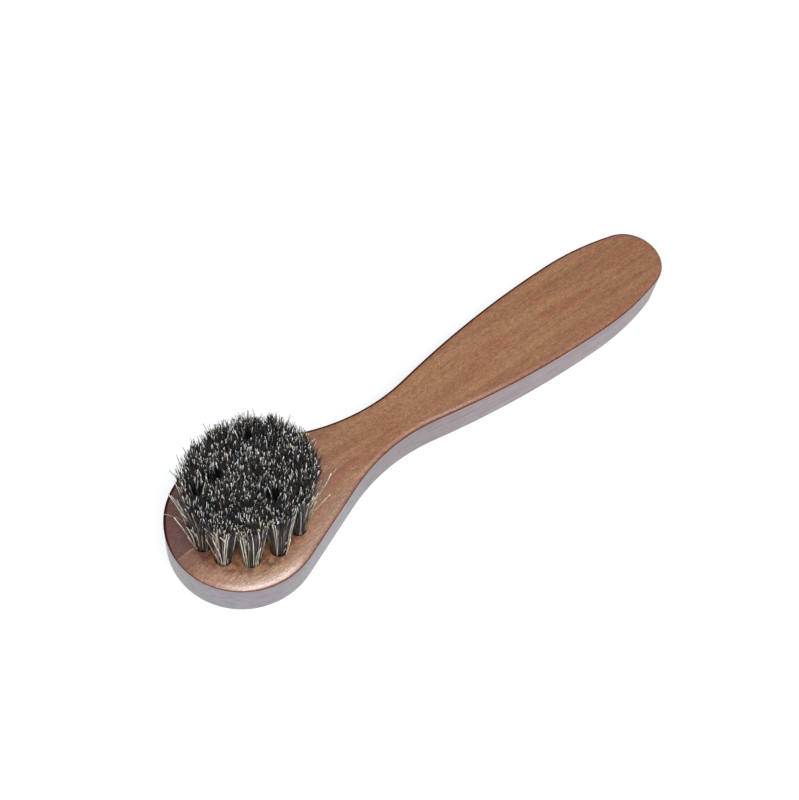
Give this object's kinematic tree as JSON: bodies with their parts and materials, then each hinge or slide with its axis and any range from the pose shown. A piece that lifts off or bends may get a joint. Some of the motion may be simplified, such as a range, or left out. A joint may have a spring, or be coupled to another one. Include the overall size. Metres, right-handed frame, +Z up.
{
  "type": "shoe shine brush",
  "caption": "Spoon-shaped wooden shoe brush: a flat paddle handle narrows to a neck, and the round head carries tufts of dark mixed horsehair held in drilled holes.",
  "frame": {"origin": "middle of the flat underside of the board", "axes": "+X along the board towards the end of the handle, +Y across it, +Z up through the bristles"},
  "size_m": [0.17, 0.0404, 0.0365],
  "materials": {
    "wood": "walnut-stained hardwood with a thin satin lacquer",
    "hair": "mixed horsehair, mostly black with some brown and cream hairs",
    "anchor_metal": "flat drawn wire, galvanised"
  },
  "bodies": {
    "root": {"brush_board": "wood", "middle_tuft": "hair", "inner_tuft_1": "hair", "inner_tuft_2": "hair", "inner_tuft_3": "hair", "inner_tuft_4": "hair", "inner_tuft_5": "hair", "inner_tuft_6": "hair", "outer_tuft_1": "hair", "outer_tuft_2": "hair", "outer_tuft_3": "hair", "outer_tuft_4": "hair", "outer_tuft_5": "hair", "outer_tuft_6": "hair", "outer_tuft_7": "hair", "outer_tuft_8": "hair", "outer_tuft_9": "hair", "outer_tuft_10": "hair", "outer_tuft_11": "hair", "outer_tuft_12": "hair", "tuft_anchors": "anchor_metal"}
  },
  "joints": []
}
